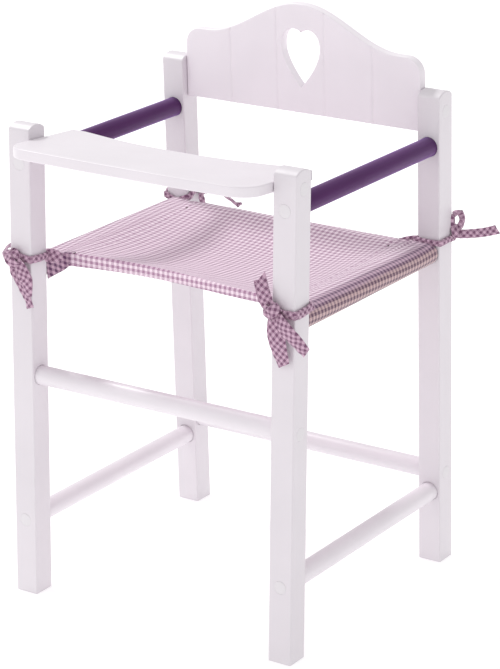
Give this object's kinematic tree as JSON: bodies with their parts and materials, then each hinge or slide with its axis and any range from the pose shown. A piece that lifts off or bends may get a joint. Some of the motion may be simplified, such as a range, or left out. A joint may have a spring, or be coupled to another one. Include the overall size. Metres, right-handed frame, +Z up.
{
  "type": "doll high chair",
  "caption": "Painted wooden doll high chair with leaning posts, a turning tray, a planked back board with a heart cut-out and a checked cloth sling seat tied to the posts.",
  "frame": {"origin": "on the floor, under the middle of the chair's overall box from side to side and from the tray's front edge to the heels of the rear feet", "axes": "+Z up, -Y the way the seated doll faces, +X towards the doll's left hand, millimetres in the STEP files"},
  "size_m": [0.3878, 0.3139, 0.5251],
  "materials": {
    "white_paint": "satin white paint over turned and planed softwood",
    "purple_paint": "satin dark purple paint over turned softwood",
    "gingham": "woven cotton, purple and white checks",
    "steel": "zinc-plated wood screws",
    "cap_plastic": "off-white moulded caps"
  },
  "bodies": {
    "frame": {"front_left_post": "white_paint", "front_left_arm_screw": "steel", "front_left_arm_cap": "cap_plastic", "front_left_rail_screw": "steel", "front_left_rail_cap": "cap_plastic", "front_left_side_rung_screw": "steel", "front_left_side_rung_cap": "cap_plastic", "front_left_rung_screw": "steel", "front_left_rung_cap": "cap_plastic", "front_left_tray_cap": "cap_plastic", "front_left_tie": "gingham", "front_right_post": "white_paint", "front_right_arm_screw": "steel", "front_right_arm_cap": "cap_plastic", "front_right_rail_screw": "steel", "front_right_rail_cap": "cap_plastic", "front_right_side_rung_screw": "steel", "front_right_side_rung_cap": "cap_plastic", "front_right_rung_screw": "steel", "front_right_rung_cap": "cap_plastic", "front_right_tray_cap": "cap_plastic", "front_right_tie": "gingham", "rear_left_post": "white_paint", "rear_left_arm_screw": "steel", "rear_left_arm_cap": "cap_plastic", "rear_left_rail_screw": "steel", "rear_left_rail_cap": "cap_plastic", "rear_left_side_rung_screw": "steel", "rear_left_side_rung_cap": "cap_plastic", "rear_left_rung_screw": "steel", "rear_left_rung_cap": "cap_plastic", "rear_left_back_board_screw": "steel", "rear_left_back_board_cap": "cap_plastic", "rear_left_tie": "gingham", "rear_right_post": "white_paint", "rear_right_arm_screw": "steel", "rear_right_arm_cap": "cap_plastic", "rear_right_rail_screw": "steel", "rear_right_rail_cap": "cap_plastic", "rear_right_side_rung_screw": "steel", "rear_right_side_rung_cap": "cap_plastic", "rear_right_rung_screw": "steel", "rear_right_rung_cap": "cap_plastic", "rear_right_back_board_screw": "steel", "rear_right_back_board_cap": "cap_plastic", "rear_right_tie": "gingham", "left_armrest": "purple_paint", "left_seat_rail": "white_paint", "left_side_rung": "white_paint", "right_armrest": "purple_paint", "right_seat_rail": "white_paint", "right_side_rung": "white_paint", "front_rung": "white_paint", "rear_rung": "white_paint", "back_board": "white_paint", "seat_sling": "gingham"},
    "tray": {"tray": "white_paint", "front_left_tray_screw": "steel", "front_right_tray_screw": "steel"}
  },
  "joints": [
    {"name": "tray_pivot", "type": "hinge", "parent": "frame", "child": "tray", "pos_m": [0, -0.10546, 0.4282], "axis": [1, 0, 0], "continuous": true}
  ]
}
